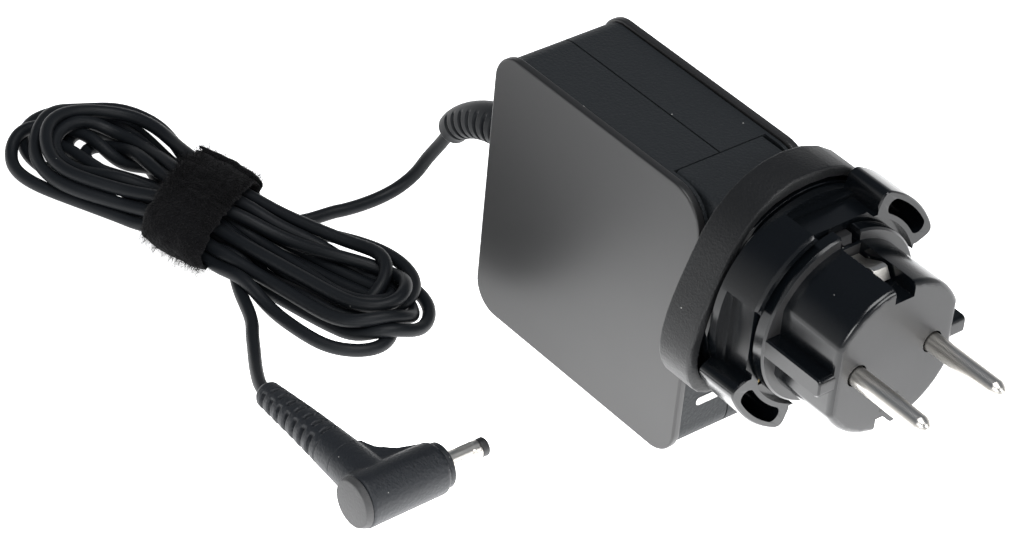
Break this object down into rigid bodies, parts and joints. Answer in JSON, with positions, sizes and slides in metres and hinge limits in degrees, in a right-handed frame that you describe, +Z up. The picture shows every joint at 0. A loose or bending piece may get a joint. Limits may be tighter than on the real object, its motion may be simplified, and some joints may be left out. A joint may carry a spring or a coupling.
{
  "type": "laptop power adapter",
  "caption": "Flat square wall adapter with a wide plug collar, a clip-on converter with round pins, and a thin output cord tied in a hank that ends in a right-angle barrel connector",
  "frame": {"origin": "on the table, under the middle of the adapter measured from the block's cord end to the tips of the round pins and across its thickness", "axes": "+X from the block towards the round pins, +Y through the block's thickness, +Z up"},
  "size_m": [0.2233, 0.104, 0.0714],
  "materials": {
    "cover": "smooth satin dark grey",
    "shell": "fine-grained matte black",
    "collar": "fine-grained matte black",
    "gloss": "polished black",
    "cord": "satin black soft vinyl",
    "strap": "fuzzy black loop pile",
    "nickel": "bright nickel plate",
    "brass": "brushed brass",
    "board": "green solder mask",
    "ferrite": "pressed dark grey ferrite",
    "copper": "enamelled copper wire",
    "tape": "yellow insulating tape",
    "sleeve": "dark shrink sleeve",
    "resin": "moulded black resin",
    "ceramic": "glazed ceramic coating",
    "steel": "rolled sheet"
  },
  "bodies": {
    "adapter": {"front_cover": "cover", "back_cover": "cover", "front_shell": "shell", "back_shell": "shell", "plug_block": "shell", "plug_collar": "collar", "line_blade": "brass", "neutral_blade": "brass", "earth_blade": "resin", "insulation_sheet": "tape", "main_board": "board", "transformer_core": "ferrite", "transformer_winding": "tape", "bulk_capacitor_1": "sleeve", "bulk_capacitor_2": "sleeve", "x_capacitor": "tape", "common_mode_choke": "copper", "line_fuse": "ceramic", "bridge_rectifier": "resin", "power_switch": "resin", "heat_spreader": "steel", "controller_chip": "resin", "safety_capacitor": "ceramic", "output_capacitor": "sleeve", "output_inductor": "copper", "line_wire": "copper", "neutral_wire": "copper", "output_wire": "cord", "strain_relief": "cord", "cord_lead_out": "cord", "cord_hank": "cord", "cable_tie": "strap", "cord_tail": "cord", "connector_relief": "cord", "connector_body": "cord", "connector_cap": "cord", "connector_nose": "cord", "barrel_shell": "nickel", "barrel_insulator": "resin", "barrel_contact": "nickel"},
    "converter": {"converter_ring": "gloss", "converter_base": "gloss", "converter_head": "gloss", "line_contact": "brass", "neutral_contact": "brass", "round_pin_near": "nickel", "round_pin_far": "nickel", "earth_clip_top": "nickel", "earth_clip_bottom": "nickel", "converter_screw_1": "steel", "converter_screw_2": "steel"}
  },
  "joints": [
    {"name": "converter_pull", "type": "slide", "parent": "adapter", "child": "converter", "axis": [1, 0, 0], "range_m": [0, 0.018]}
  ]
}
